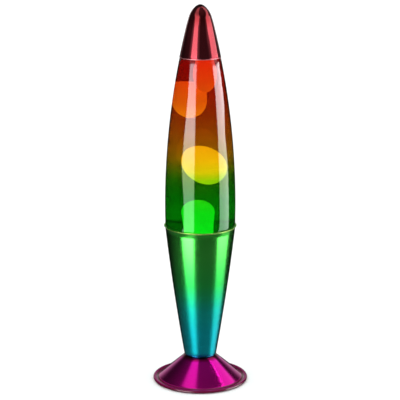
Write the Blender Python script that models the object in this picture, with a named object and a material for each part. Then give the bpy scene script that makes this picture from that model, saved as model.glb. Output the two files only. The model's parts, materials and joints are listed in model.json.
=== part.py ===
"""Table lava lamp: foot, cone body, bulb and holder, lacquered bottle with wax, and cap.

Metres, +Z up. The origin is the centre of the underside, on the lamp's own axis.
Every round part is turned about that axis. Outlines are lists of (radius, height) in millimetres.
"""

import math

import bmesh
import bpy
from mathutils import Matrix, Vector

MM = 0.001

# Driving dimensions, in millimetres
HEIGHT = 420.0            # table to the tip of the cap
BELLY_RADIUS = 38.55      # widest point of the bottle
BELLY_Z = 198.7
ARC_RADIUS = 832.0        # the one long arc that bottle and cap share
SEAM_Z = 362.9            # where the cap meets the bottle
TIP_START_Z = 407.0       # where the cap's arc turns into its round tip
RIM_Z = 177.9             # top of the cone body's lip
LIP_RADIUS = 40.2
CONE_BASE_Z = 29.7
CONE_BASE_RADIUS = 17.6
CONE_TOP_RADIUS = 38.6
CONE_BULGE = 1.2          # how far the cone's side bows out at mid height
FOOT_TOP_Z = 29.4
FOOT_TOP_RADIUS = 16.5
FLANK_FALL = 0.872        # drop of the foot's flank for each millimetre outwards
FLANK_END_RADIUS = 46.6
BEAD_CENTRE = (50.4, 2.6)
BEAD_RADIUS = 2.2
METAL = 1.0               # thickness of the spun cap and cone
FOOT_METAL = 1.2
GLASS = 2.8               # thickness of the bottle's wall
GAP = 0.3                 # clearance between pieces that touch
FILL_Z = 367.0            # level of the liquid

SHELL_STEPS = 32          # facets round the large shells
TRIM_STEPS = 20           # facets round the small turned pieces
SCREW_STEPS = 12          # facets round screws, pads and the grommet
WAX_STEPS = 24            # facets round the wax and the bulb

CORD_Z = 11.2             # height of the cord grommet's axis
BALLAST_HALF_GAP = 24.0   # degrees left open at the back of the ballast, each side
PAD_RING = 37.0
COVER_SCREW_RING = 30.0
COVER_SCREW_ANGLES = (270.0, 20.0, 160.0)

# Cap and bottle
CAP_EDGE_Z = SEAM_Z + GAP
LEDGE_Z = SEAM_Z - 0.4
NECK_RADIUS = 12.6
FINISH_RADIUS = 13.3
MOUTH_RADIUS = 9.0
MOUTH_Z = 382.0
BOTTLE_BASE_Z = 112.0
SHOULDER_Z = 172.0
TAPER_CLEARANCE = 0.7     # between the bottle's lower taper and the cone's inside

# Crown cap
CROWN_TEETH = 21
CROWN_TOP_Z = 384.1
CROWN_SHEET = 0.5

# Coil on the bottle's floor
COIL_RING_RADIUS = 18.0
COIL_TUBE_RADIUS = 2.4
COIL_WIRE_RADIUS = 0.35
COIL_TURNS = 12
COIL_Z = BOTTLE_BASE_Z + 5.2 + COIL_TUBE_RADIUS + COIL_WIRE_RADIUS + GAP

# Liquid and wax
SLEEVE = 0.9              # how far the liquid's solid reaches in from the glass
POOL_TOP_Z = 138.0
COLUMN_X = -1.9
COLUMN_RADIUS = 13.6
COLUMN_NECK_RADIUS = 11.8
COLUMN_TOP_Z = 206.4

# Cord grommet, ballast, cover and pads
GROMMET_RADIUS = 4.9
GROMMET_BORE = 3.7
GROMMET_INNER_Y = 25.0
GROMMET_OUTER_Y = 46.4
BALLAST_LOW = 6.6
BALLAST_HIGH = 20.0
BALLAST_BORE = 13.0
COVER_LOW = 3.0
COVER_HIGH = 4.2
COVER_RADIUS = 42.8
PAD_RADIUS = 4.5
VENT_ANGLES = tuple(30.0 + 60.0 * index for index in range(6))

# Nipple, washer and lampholder
NIPPLE_RADIUS = 5.0
NIPPLE_BORE = 3.6
WASHER_LOW = 31.2
HOLDER_LOW = 33.0
HOLDER_FLOOR = 36.4
HOLDER_HIGH = 62.5
HOLDER_RADIUS = 13.4
HOLDER_BORE = 8.6
SLEEVE_CREST = 7.25       # smallest inside radius of the holder's screw sleeve
SLEEVE_OUTER = 8.2
CAP_CREST = 6.9           # largest radius of the bulb's screw cap
THREAD_PITCH = 2.8

# Bulb
BULB_TOP_Z = 104.4
BULB_RADIUS = 19.5
BULB_GLASS = 0.8
CONTACT_LOW = 37.6


# ---------------------------------------------------------------- helpers

def clear_scene():
    """Removes whatever the scene holds."""
    for old in list(bpy.data.objects):
        bpy.data.objects.remove(old, do_unlink=True)


def make_material(name, colour, roughness, metallic=0.0, transmission=0.0):
    """Returns a plain Principled material."""
    material = bpy.data.materials.new(name)
    material.use_nodes = True
    shader = material.node_tree.nodes["Principled BSDF"]
    shader.inputs["Base Color"].default_value = (*colour, 1.0)
    shader.inputs["Roughness"].default_value = roughness
    shader.inputs["Metallic"].default_value = metallic
    shader.inputs["Transmission Weight"].default_value = transmission
    material.diffuse_color = (*colour, 1.0)
    return material


def add_object(name, data, material, location=(0.0, 0.0, 0.0), parent=None):
    """Links an object, with its location in world millimetres."""
    obj = bpy.data.objects.new(name, data)
    bpy.context.scene.collection.objects.link(obj)
    obj.location = [value * MM for value in location]
    if parent is not None:
        obj.parent = parent
        obj.matrix_parent_inverse = Matrix.Translation(-parent.location)
    if material is not None and not data.materials:
        data.materials.append(material)
    return obj


def add_pivot(name, z, parent=None):
    """An empty on the lamp's axis that carries the pieces of one moving body."""
    pivot = bpy.data.objects.new(name, None)
    bpy.context.scene.collection.objects.link(pivot)
    pivot.location = (0.0, 0.0, z * MM)
    if parent is not None:
        pivot.parent = parent
        pivot.matrix_parent_inverse = Matrix.Translation(-parent.location)
    return pivot


def turned_bmesh(outline, steps, degrees=360.0, start=0.0):
    """Turns an outline of (radius, height) about Z. An outline whose ends are off the axis is a ring."""
    bm = bmesh.new()
    turn = Matrix.Rotation(math.radians(start), 3, "Z")
    points = [bm.verts.new(turn @ Vector((r * MM, 0.0, z * MM))) for r, z in outline]
    for first, second in zip(points, points[1:]):
        bm.edges.new((first, second))
    is_ring = outline[0][0] > 0.0
    if is_ring:
        bm.edges.new((points[-1], points[0]))
    whole = degrees >= 360.0
    bmesh.ops.spin(bm, geom=bm.verts[:] + bm.edges[:], cent=(0, 0, 0), axis=(0, 0, 1),
                   steps=steps, angle=math.radians(degrees), use_merge=whole)
    bmesh.ops.remove_doubles(bm, verts=bm.verts[:], dist=1e-6)
    if not whole:
        open_edges = [edge for edge in bm.edges if edge.is_boundary]
        bmesh.ops.holes_fill(bm, edges=open_edges, sides=0)
    bmesh.ops.recalc_face_normals(bm, faces=bm.faces[:])
    return bm


def mesh_from(bm, name, sharp_degrees=35.0):
    """Turns a bmesh into a smooth-shaded mesh."""
    mesh = bpy.data.meshes.new(name)
    bm.to_mesh(mesh)
    bm.free()
    mesh.shade_smooth()
    mesh.set_sharp_from_angle(angle=math.radians(sharp_degrees))
    return mesh


def turned(name, outline, material, steps=SHELL_STEPS, location=(0.0, 0.0, 0.0), parent=None):
    """A turned piece as an object."""
    mesh = mesh_from(turned_bmesh(outline, steps), name)
    return add_object(name, mesh, material, location, parent)


def arc_points(centre, radius, first, last, count):
    """Points along an arc, with angles in degrees from the +radius direction."""
    points = []
    for index in range(count):
        angle = math.radians(first + (last - first) * index / (count - 1))
        points.append((centre[0] + radius * math.cos(angle), centre[1] + radius * math.sin(angle)))
    return points


def spread(first, last, count):
    """Evenly spaced numbers, both ends included."""
    return [first + (last - first) * index / (count - 1) for index in range(count)]


def cut(target, cutters):
    """Cuts each cutter out of the target."""
    for cutter in cutters:
        cutter.hide_render = True
        cutter.display_type = "WIRE"
        modifier = target.modifiers.new("cut " + cutter.name, "BOOLEAN")
        modifier.operation = "DIFFERENCE"
        modifier.solver = "EXACT"
        modifier.object = cutter


def rod(name, radius, low, high, steps, location=(0.0, 0.0, 0.0)):
    """A plain cylinder along local Z, used as a cutter."""
    outline = [(0.0, low), (radius, low), (radius, high), (0.0, high)]
    return turned(name, outline, None, steps, location)


# ---------------------------------------------------------------- shared curves

def arc_outline(z):
    """Radius of the long arc that runs down cap and bottle."""
    return BELLY_RADIUS - (ARC_RADIUS - math.sqrt(ARC_RADIUS ** 2 - (z - BELLY_Z) ** 2))


def cone_outline(z):
    """Outer radius of the cone body."""
    along = (z - CONE_BASE_Z) / (RIM_Z - CONE_BASE_Z)
    straight = CONE_BASE_RADIUS + (CONE_TOP_RADIUS - CONE_BASE_RADIUS) * along
    return straight + CONE_BULGE * 4.0 * along * (1.0 - along)


def flank_outline(z):
    """Outer radius of the foot's straight flank."""
    return FOOT_TOP_RADIUS + (FOOT_TOP_Z - z) / FLANK_FALL


# ---------------------------------------------------------------- cap


def cap_outline(inset):
    """The cap's side from its edge up to the tip, moved in by inset."""
    side = [(arc_outline(z) + GAP - inset, z) for z in spread(CAP_EDGE_Z + 0.4, TIP_START_Z - 7.0, 4)]
    tip = []
    for degrees in spread(0.0, 90.0, 5):
        z = TIP_START_Z + (HEIGHT - TIP_START_Z - inset * 1.3) * math.sin(math.radians(degrees))
        tip.append(((arc_outline(z) - inset) * math.cos(math.radians(degrees)), z))
    tip[-1] = (0.0, tip[-1][1])
    return side + tip


def build_cap(materials, parent):
    """Spun cap with a small rounded edge."""
    outer = cap_outline(0.0)
    inner = cap_outline(METAL)
    edge_radius = arc_outline(CAP_EDGE_Z) + GAP
    edge = [(edge_radius - METAL, CAP_EDGE_Z + 0.2), (edge_radius - METAL / 2, CAP_EDGE_Z),
            (edge_radius - 0.1, CAP_EDGE_Z + 0.1)]
    outline = list(reversed(inner)) + edge + outer
    turned("decorative_cap", outline, materials["cap"], parent=parent)


# ---------------------------------------------------------------- bottle


def taper_radius(z):
    """Outer radius of the bottle inside the cone."""
    return cone_outline(z) - METAL - TAPER_CLEARANCE


def bottle_outer():
    """Outer outline of the bottle, bottom centre to mouth."""
    heel = taper_radius(BOTTLE_BASE_Z + 4.0)
    points = [
        (0.0, BOTTLE_BASE_Z + 2.4),
        (19.5, BOTTLE_BASE_Z + 0.4),
        (heel - 5.5, BOTTLE_BASE_Z),
        (heel - 2.2, BOTTLE_BASE_Z + 0.9),
    ]
    points += [(taper_radius(z), z) for z in spread(BOTTLE_BASE_Z + 4.0, SHOULDER_Z, 4)]
    points += [(37.1, 174.6), (37.85, 176.9)]
    points += [(arc_outline(z), z) for z in spread(RIM_Z + 1.3, LEDGE_Z - 0.6, 8)]
    ledge = arc_outline(LEDGE_Z)
    points += [(ledge - 0.3, LEDGE_Z), (ledge - 1.6, LEDGE_Z + 0.7), (20.0, 366.5), (16.6, 371.8)]
    points += [
        (NECK_RADIUS, 375.0),
        (NECK_RADIUS, 376.6),
        (FINISH_RADIUS, 377.4),
        (FINISH_RADIUS, 380.8),
        (FINISH_RADIUS - 1.0, MOUTH_Z),
    ]
    return points


def bottle_inner():
    """Inner outline of the bottle, mouth to bottom centre."""
    points = [
        (MOUTH_RADIUS + 0.6, MOUTH_Z),
        (MOUTH_RADIUS, MOUTH_Z - 0.8),
        (MOUTH_RADIUS, 374.6),
        (11.5, 371.6),
        (15.6, 368.2),
        (18.0, 364.6),
    ]
    points += [(arc_outline(z) - GLASS, z) for z in spread(LEDGE_Z - 1.0, RIM_Z + 3.0, 6)]
    points += [(taper_radius(z) - GLASS, z) for z in spread(SHOULDER_Z, BOTTLE_BASE_Z + 9.0, 3)]
    points += [(24.6, BOTTLE_BASE_Z + 5.6), (18.5, BOTTLE_BASE_Z + 4.4), (0.0, BOTTLE_BASE_Z + 5.6)]
    return points


def build_bottle(materials, parent):
    """Bottle, crown cap, liner and the wire coil on its floor."""
    turned("glass_bottle", bottle_outer() + bottle_inner(), materials["bottle"], parent=parent)
    build_crown(materials, parent)
    build_heat_coil(materials, parent)


def build_crown(materials, parent):
    """Crown cap crimped on the bottle's finish, with its liner."""
    top = CROWN_TOP_Z
    outer = [(0.0, top), (11.8, top), (13.9, top - 1.0), (14.9, top - 4.0), (16.1, top - 6.2)]
    inner = [(15.7, top - 6.3), (14.4, top - 4.0), (13.3, top - 1.4), (11.6, top - CROWN_SHEET),
             (0.0, top - CROWN_SHEET)]
    bm = turned_bmesh(outer + inner, 2 * CROWN_TEETH)
    for vert in bm.verts:
        skirt = (top * MM - vert.co.z - 3.5 * MM) / (2.8 * MM)
        if skirt > 0.0:
            angle = math.atan2(vert.co.y, vert.co.x)
            swell = 1.0 + 0.03 * skirt * math.cos(CROWN_TEETH * angle)
            vert.co.x *= swell
            vert.co.y *= swell
    add_object("crown_cap", mesh_from(bm, "crown_cap"), materials["crown"], parent=parent)
    low = MOUTH_Z + GAP
    high = top - CROWN_SHEET - GAP
    turned("crown_liner", [(0.0, low), (12.6, low), (12.6, low + 0.3), (11.0, high), (0.0, high)],
           materials["liner"], TRIM_STEPS, parent=parent)


def build_heat_coil(materials, parent):
    """Sprung wire bent into a ring that lies on the bottle's floor under the wax."""
    per_turn = 6
    curve = bpy.data.curves.new("heat_coil", "CURVE")
    curve.dimensions = "3D"
    curve.bevel_depth = COIL_WIRE_RADIUS * MM
    curve.bevel_resolution = 0
    spline = curve.splines.new("POLY")
    count = COIL_TURNS * per_turn
    spline.points.add(count - 1)
    for index, point in enumerate(spline.points):
        around = math.tau * index / count
        twist = math.tau * index / per_turn
        radius = COIL_RING_RADIUS + COIL_TUBE_RADIUS * math.cos(twist)
        point.co = (radius * math.cos(around) * MM, radius * math.sin(around) * MM,
                    COIL_TUBE_RADIUS * math.sin(twist) * MM, 1.0)
    spline.use_cyclic_u = True
    add_object("heat_coil", curve, materials["steel"], (0.0, 0.0, COIL_Z), parent)


# ---------------------------------------------------------------- liquid and wax


def inner_radius(z):
    """Inside radius of the bottle between its floor and its shoulder."""
    if z < SHOULDER_Z + 4.0:
        return taper_radius(z) - GLASS
    return arc_outline(z) - GLASS


def build_liquid(materials, parent):
    """Liquid as a layer against the glass: the space inside it is left open for the wax to move in."""
    heights = spread(POOL_TOP_Z + 1.0, SHOULDER_Z, 2) + spread(RIM_Z + 3.0, LEDGE_Z - 1.0, 6)
    wall = [(inner_radius(z) - GAP, z) for z in heights]
    core = [(inner_radius(z) - SLEEVE, z) for z in heights]
    outline = wall + [(15.8, FILL_Z), (15.2, FILL_Z)] + list(reversed(core))
    turned("liquid", outline, materials["liquid"], parent=parent)


def build_wax_pool(materials, parent):
    """Pool over the coil, with the column that rises out of it and leans a little."""
    floor = COIL_Z + COIL_TUBE_RADIUS + COIL_WIRE_RADIUS + GAP
    ring_in = COIL_RING_RADIUS - COIL_TUBE_RADIUS - COIL_WIRE_RADIUS - 0.6
    wall = [(inner_radius(z) - 0.4, z) for z in spread(floor + 3.0, POOL_TOP_Z - 4.0, 2)]
    outline = [(0.0, BOTTLE_BASE_Z + 6.1), (ring_in - 0.6, BOTTLE_BASE_Z + 5.6), (ring_in, floor)]
    outline += [(inner_radius(floor + 3.0) - 2.0, floor + 0.4)] + wall
    outline += [
        (inner_radius(POOL_TOP_Z) - 4.0, POOL_TOP_Z),
        (22.0, POOL_TOP_Z + 3.5),
        (15.4, POOL_TOP_Z + 11.0),
        (12.6, POOL_TOP_Z + 21.0),
        (COLUMN_NECK_RADIUS, 172.0),
        (COLUMN_NECK_RADIUS + 0.5, 180.0),
    ]
    dome = COLUMN_TOP_Z - COLUMN_RADIUS
    outline += arc_points((0.0, dome), COLUMN_RADIUS, -10.0, 90.0, 5)
    outline[-1] = (0.0, COLUMN_TOP_Z)
    bm = turned_bmesh(outline, WAX_STEPS)
    for vert in bm.verts:
        lean = min(max((vert.co.z / MM - POOL_TOP_Z) / (dome - POOL_TOP_Z), 0.0), 1.0)
        vert.co.x += COLUMN_X * MM * lean * lean * (3.0 - 2.0 * lean)
    add_object("wax_pool", mesh_from(bm, "wax_pool"), materials["wax"], parent=parent)


def wax_blob(name, centre, half_sizes, materials, parent, tilt=0.0, flat_top=None):
    """A free blob: a ball stretched to its half sizes and tilted about Y, or with its top pressed flat."""
    bm = bmesh.new()
    bmesh.ops.create_uvsphere(bm, u_segments=16, v_segments=10, radius=1.0)
    if flat_top is not None:
        for vert in bm.verts:
            if vert.co.z > 0.0:
                across = min(math.hypot(vert.co.x, vert.co.y), 1.0)
                vert.co.z = flat_top / half_sizes[2] * (1.0 - across ** 4) ** 0.25
    shape = Matrix.Rotation(math.radians(tilt), 4, "Y") @ Matrix.Diagonal([*half_sizes, 1.0])
    bmesh.ops.transform(bm, matrix=Matrix.Scale(MM, 4) @ shape, verts=bm.verts[:])
    add_object(name, mesh_from(bm, name), materials["wax"], centre, parent)


# ---------------------------------------------------------------- cone body

def build_cone(materials):
    """Spun cone with a turned-out lip, closed below by a disc with the nipple's hole."""
    hole = NIPPLE_RADIUS + GAP
    floor = CONE_BASE_Z + METAL + 0.2
    outer = [
        (hole, CONE_BASE_Z),
        (CONE_BASE_RADIUS - 0.8, CONE_BASE_Z),
        (CONE_BASE_RADIUS - 0.1, CONE_BASE_Z + 0.6),
    ]
    outer += [(cone_outline(z), z) for z in spread(CONE_BASE_Z + 2.5, RIM_Z - 3.6, 5)]
    lip = [
        (38.9, RIM_Z - 2.2),
        (LIP_RADIUS - 0.4, RIM_Z - 1.7),
        (LIP_RADIUS, RIM_Z - 1.0),
        (LIP_RADIUS - 0.3, RIM_Z - 0.3),
        (LIP_RADIUS - 0.9, RIM_Z),
        (38.7, RIM_Z - 0.3),
        (38.25, RIM_Z - 1.3),
        (37.75, RIM_Z - 3.1),
    ]
    inner = [(cone_outline(z) - METAL, z) for z in spread(RIM_Z - 5.6, floor + 1.2, 5)]
    inner += [(CONE_BASE_RADIUS - METAL - 0.8, floor), (hole, floor)]
    turned("cone_body", outer + lip + inner, materials["cone"])


# ---------------------------------------------------------------- foot

def build_foot(materials):
    """Flared foot with a rolled bead, its cord hole, ballast, cover, screws and pads."""
    hole = NIPPLE_RADIUS + GAP
    flank_end_z = FOOT_TOP_Z - (FLANK_END_RADIUS - FOOT_TOP_RADIUS) * FLANK_FALL
    across = FOOT_METAL * math.hypot(1.0, FLANK_FALL) / FLANK_FALL
    under = FOOT_TOP_Z - FOOT_METAL
    outline = [
        (hole, FOOT_TOP_Z),
        (FOOT_TOP_RADIUS - 0.6, FOOT_TOP_Z),
        (FOOT_TOP_RADIUS + 0.4, FOOT_TOP_Z - 0.5),
    ]
    outline += [(flank_outline(z), z) for z in spread(FOOT_TOP_Z - 4.0, flank_end_z, 3)]
    outline += [(47.7, 2.75)]
    outline += arc_points(BEAD_CENTRE, BEAD_RADIUS, 162.0, -135.0, 9)
    outline += [(46.4, flank_end_z - across * FLANK_FALL + 0.4)]
    outline += [(flank_outline(z) - across, z) for z in spread(flank_end_z, under - 0.6, 3)]
    outline += [(FOOT_TOP_RADIUS - across * 0.6, under), (hole, under)]
    foot = turned("foot_shell", outline, materials["foot"])
    bore = rod("cord_hole", GROMMET_RADIUS + GAP, 22.0, 48.0, SCREW_STEPS, (0.0, 0.0, CORD_Z))
    bore.rotation_euler = (math.radians(-90.0), 0.0, 0.0)
    cut(foot, [bore])
    build_grommet(materials)
    build_ballast(materials, across)
    build_cover(materials)


def build_grommet(materials):
    """Rubber grommet for the cord, its axis level and pointing straight back."""
    inner = GROMMET_INNER_Y
    outer = GROMMET_OUTER_Y
    outline = [
        (GROMMET_BORE, inner),
        (6.1, inner),
        (6.4, inner + 0.4),
        (6.4, inner + 1.6),
        (GROMMET_RADIUS, inner + 2.0),
        (GROMMET_RADIUS, outer - 1.9),
        (5.7, outer - 1.5),
        (5.7, outer - 0.4),
        (5.3, outer),
        (GROMMET_BORE + 0.4, outer),
        (GROMMET_BORE, outer - 0.5),
    ]
    grommet = turned("cord_grommet", outline, materials["rubber"], SCREW_STEPS, (0.0, 0.0, CORD_Z))
    grommet.rotation_euler = (math.radians(-90.0), 0.0, 0.0)


def build_ballast(materials, across):
    """Cast weight glued inside the flank, open at the back for the cord, drilled for the cover screws."""
    clear = across + 0.5
    outline = [(BALLAST_BORE, BALLAST_LOW), (flank_outline(BALLAST_LOW) - clear - 1.0, BALLAST_LOW),
               (flank_outline(BALLAST_LOW + 1.2) - clear, BALLAST_LOW + 1.2),
               (flank_outline(BALLAST_HIGH) - clear, BALLAST_HIGH), (BALLAST_BORE, BALLAST_HIGH)]
    sweep = 360.0 - 2.0 * BALLAST_HALF_GAP
    bm = turned_bmesh(outline, 28, sweep, 90.0 + BALLAST_HALF_GAP)
    ballast = add_object("ballast_ring", mesh_from(bm, "ballast_ring"), materials["iron"])
    cutters = []
    for index, place in enumerate(ring_places(COVER_SCREW_RING, COVER_SCREW_ANGLES, 0.0)):
        cutters.append(rod(f"ballast_tap_{index + 1}", 1.6, BALLAST_LOW - 2.0, 14.0, 12, place))
    cut(ballast, cutters)


def ring_places(radius, angles, z):
    """Places round the axis at the given angles in degrees."""
    return [(radius * math.cos(math.radians(a)), radius * math.sin(math.radians(a)), z) for a in angles]


def build_cover(materials):
    """Bottom cover with vents and screw holes, its three screws and four pads."""
    outline = [(0.0, COVER_LOW), (COVER_RADIUS - 0.4, COVER_LOW), (COVER_RADIUS, COVER_LOW + 0.4),
               (COVER_RADIUS, COVER_HIGH), (0.0, COVER_HIGH)]
    cover = turned("bottom_cover", outline, materials["cover"])
    screw_places = ring_places(COVER_SCREW_RING, COVER_SCREW_ANGLES, 0.0)
    cutters = [rod(f"cover_hole_{index + 1}", 1.6, COVER_LOW - 1.0, COVER_HIGH + 1.0, 12, place)
               for index, place in enumerate(screw_places)]
    cutters += [rod(f"cover_vent_{index + 1}", 2.5, COVER_LOW - 1.0, COVER_HIGH + 1.0, 12, place)
                for index, place in enumerate(ring_places(16.0, VENT_ANGLES, 0.0))]
    cut(cover, cutters)
    screw = slotted_screw_mesh("cover_screw", head=2.7, head_height=1.7, shank=1.25, length=8.6)
    for index, place in enumerate(screw_places):
        turn_over = add_object(f"cover_screw_{index + 1}", screw, materials["steel"],
                               (place[0], place[1], COVER_LOW - GAP))
        turn_over.rotation_euler = (math.pi, 0.0, 0.0)
    pad_outline = [(0.0, 0.0), (PAD_RADIUS - 0.5, 0.0), (PAD_RADIUS, 0.5), (PAD_RADIUS, COVER_LOW - GAP),
                   (0.0, COVER_LOW - GAP)]
    pad = mesh_from(turned_bmesh(pad_outline, SCREW_STEPS), "rubber_pad")
    for index, place in enumerate(ring_places(PAD_RING, (45.0, 135.0, 225.0, 315.0), 0.0)):
        add_object(f"rubber_pad_{index + 1}", pad, materials["rubber"], place)


def slotted_screw_mesh(name, head, head_height, shank, length):
    """A cheese-head screw along Z: the head above z = 0, the shank below it, a slot across the head."""
    outline = [(0.0, -length), (shank * 0.6, -length), (shank, -length + 0.8), (shank, 0.0), (head, 0.0),
               (head, head_height - 0.4), (head - 0.5, head_height), (0.0, head_height)]
    bm = turned_bmesh(outline, 12)
    blank = add_object(name + "_blank", mesh_from(bm, name + "_blank"), None)
    slot_bm = bmesh.new()
    bmesh.ops.create_cube(slot_bm, size=MM)
    size = Matrix.Diagonal((head * 2.4, head * 0.26, head_height, 1.0))
    move = Matrix.Translation((0.0, 0.0, head_height * MM))
    bmesh.ops.transform(slot_bm, matrix=move @ size, verts=slot_bm.verts[:])
    slot = add_object(name + "_slot", mesh_from(slot_bm, name + "_slot"), None)
    cut(blank, [slot])
    depsgraph = bpy.context.evaluated_depsgraph_get()
    mesh = bpy.data.meshes.new_from_object(blank.evaluated_get(depsgraph))
    mesh.name = name
    bpy.data.objects.remove(blank)
    bpy.data.objects.remove(slot)
    return mesh


# ---------------------------------------------------------------- holder and fixings


def ring_thread(crest, root, low, turns, pitch):
    """Round rings in place of a helix: radius alternates between crest and root up the height."""
    points = []
    for index in range(turns):
        base = low + index * pitch
        points += [(root, base), (crest, base + pitch * 0.5)]
    points.append((root, low + turns * pitch))
    return points


def build_fixings(materials):
    """Nipple, lock nut, lock washer and the mica washer under the holder."""
    nipple = [(NIPPLE_BORE, 13.0), (NIPPLE_RADIUS - 0.5, 13.0)]
    nipple += ring_thread(NIPPLE_RADIUS, NIPPLE_RADIUS - 0.4, 13.6, 5, 4.4)
    nipple += [(NIPPLE_BORE, 35.8)]
    turned("threaded_nipple", nipple, materials["steel"], TRIM_STEPS)
    bore = NIPPLE_RADIUS + GAP
    under = FOOT_TOP_Z - FOOT_METAL - GAP
    turned("lock_washer", [(bore, under - 0.9), (9.2, under - 0.9), (9.2, under), (bore, under)],
           materials["steel"], TRIM_STEPS)
    nut_top = under - 0.9 - GAP
    nut_outline = [(bore, nut_top - 5.0), (7.6, nut_top - 5.0), (8.0, nut_top - 4.4), (8.0, nut_top - 0.6),
                   (7.6, nut_top), (bore, nut_top)]
    bm = turned_bmesh(nut_outline, TRIM_STEPS)
    for vert in bm.verts:
        radius = math.hypot(vert.co.x, vert.co.y)
        if radius > (bore + 0.5) * MM:
            off_flat = (math.degrees(math.atan2(vert.co.y, vert.co.x)) % 60.0) - 30.0
            swell = 1.0 / math.cos(math.radians(off_flat))
            vert.co.x *= swell
            vert.co.y *= swell
    add_object("lock_nut", mesh_from(bm, "lock_nut"), materials["steel"])
    washer_high = HOLDER_LOW - GAP
    turned("mica_washer", [(bore, WASHER_LOW), (12.0, WASHER_LOW), (12.0, washer_high), (bore, washer_high)],
           materials["mica"], TRIM_STEPS)


def build_holder(materials):
    """Ceramic holder with its screw sleeve, centre contact and terminal screws."""
    bore = NIPPLE_RADIUS + GAP
    body = [
        (bore, HOLDER_LOW),
        (HOLDER_RADIUS - 0.8, HOLDER_LOW),
        (HOLDER_RADIUS, HOLDER_LOW + 0.8),
        (HOLDER_RADIUS, 52.0),
        (HOLDER_RADIUS - 1.4, 53.0),
        (HOLDER_RADIUS - 1.4, HOLDER_HIGH - 0.8),
        (HOLDER_RADIUS - 2.2, HOLDER_HIGH),
        (HOLDER_BORE + 0.6, HOLDER_HIGH),
        (HOLDER_BORE, HOLDER_HIGH - 0.6),
        (HOLDER_BORE, HOLDER_FLOOR),
        (bore, HOLDER_FLOOR),
    ]
    turned("holder_body", body, materials["ceramic"], TRIM_STEPS)
    thread = ring_thread(SLEEVE_CREST + 0.5, SLEEVE_CREST, 43.5, 5, THREAD_PITCH)
    sleeve = [(SLEEVE_OUTER, 42.5)] + [(SLEEVE_OUTER, 58.5)] + list(reversed(thread)) + [(SLEEVE_CREST, 42.5)]
    turned("holder_sleeve", sleeve, materials["brass"], TRIM_STEPS)
    strip_bm = bmesh.new()
    bmesh.ops.create_cube(strip_bm, size=MM)
    bmesh.ops.transform(strip_bm, matrix=Matrix.Diagonal((9.4, 3.4, 0.5, 1.0)), verts=strip_bm.verts[:])
    strip = mesh_from(strip_bm, "holder_contact")
    contact = add_object("holder_contact", strip, materials["brass"], (-2.8, 0.0, HOLDER_FLOOR + GAP + 0.25))
    cut(contact, [rod("contact_hole", 1.0, 30.0, 45.0, 12, (-5.9, 0.0, 0.0))])
    screw = slotted_screw_mesh("terminal_screw", head=1.35, head_height=0.9, shank=0.6, length=0.7)
    top = HOLDER_FLOOR + 2.0 * GAP + 0.5
    add_object("terminal_screw_1", screw, materials["brass"], (-5.9, 0.0, top))
    add_object("terminal_screw_2", screw, materials["brass"], (6.4, 0.0, top))


# ---------------------------------------------------------------- bulb


def build_bulb(materials, parent):
    """Reflector bulb: envelope, screw cap, insulator, contact, stem and filament."""
    neck = 5.7
    side = [
        (neck, 52.0),
        (neck, 60.5),
        (7.2, 65.5),
        (12.4, 74.0),
        (16.8, 83.0),
        (19.0, 90.0),
        (BULB_RADIUS, 95.0),
        (18.6, 99.4),
        (15.0, 102.4),
        (0.0, BULB_TOP_Z),
    ]
    inner = [(0.0, BULB_TOP_Z - BULB_GLASS)]
    inner += [(max(r - BULB_GLASS, 0.0), z - 0.35) for r, z in reversed(side[2:-1])]
    inner += [(neck - BULB_GLASS, 60.0), (neck - BULB_GLASS, 52.0)]
    turned("bulb_envelope", side + inner, materials["bulb_glass"], WAX_STEPS, parent=parent)
    thread = ring_thread(CAP_CREST, CAP_CREST - 0.5, 44.0, 5, THREAD_PITCH)
    shell = [(5.9, 42.4), (CAP_CREST - 0.7, 42.4)] + thread + [(6.5, 60.2), (6.0, 60.2)]
    turned("bulb_screw_cap", shell, materials["nickel"], TRIM_STEPS, parent=parent)
    insulator = [(2.4, 39.4), (3.4, 39.2), (5.6, 41.6), (5.6, 43.0), (2.4, 43.0)]
    turned("bulb_insulator", insulator, materials["black_glass"], TRIM_STEPS, parent=parent)
    contact = [
        (0.0, CONTACT_LOW),
        (1.3, CONTACT_LOW + 0.3),
        (2.0, CONTACT_LOW + 1.0),
        (2.0, 42.4),
        (0.0, 42.4),
    ]
    turned("bulb_contact", contact, materials["nickel"], TRIM_STEPS, parent=parent)
    stem = [
        (0.0, 52.6),
        (4.5, 52.6),
        (4.5, 54.4),
        (2.2, 57.0),
        (1.8, 76.0),
        (2.4, 78.0),
        (1.8, 80.0),
        (0.0, 80.4),
    ]
    turned("bulb_stem", stem, materials["clear_glass"], SCREW_STEPS, parent=parent)
    build_filament(materials, parent)


def build_filament(materials, parent):
    """Filament hung between its two lead wires in one zigzag over the stem."""
    curve = bpy.data.curves.new("bulb_filament", "CURVE")
    curve.dimensions = "3D"
    curve.bevel_depth = 0.22 * MM
    curve.bevel_resolution = 0
    curve.use_fill_caps = True
    route = [(-2.6, 80.2), (-3.0, 84.0), (-7.0, 90.0)]
    route += [(x, 90.0 + (1.6 if index % 2 else 0.0)) for index, x in enumerate(spread(-5.6, 5.6, 9))]
    route += [(7.0, 90.0), (3.0, 84.0), (2.6, 80.2)]
    spline = curve.splines.new("POLY")
    spline.points.add(len(route) - 1)
    for point, (x, z) in zip(spline.points, route):
        point.co = (x * MM, 0.0, z * MM, 1.0)
    add_object("bulb_filament", curve, materials["tungsten"], parent=parent)


# ---------------------------------------------------------------- assembly

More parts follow.
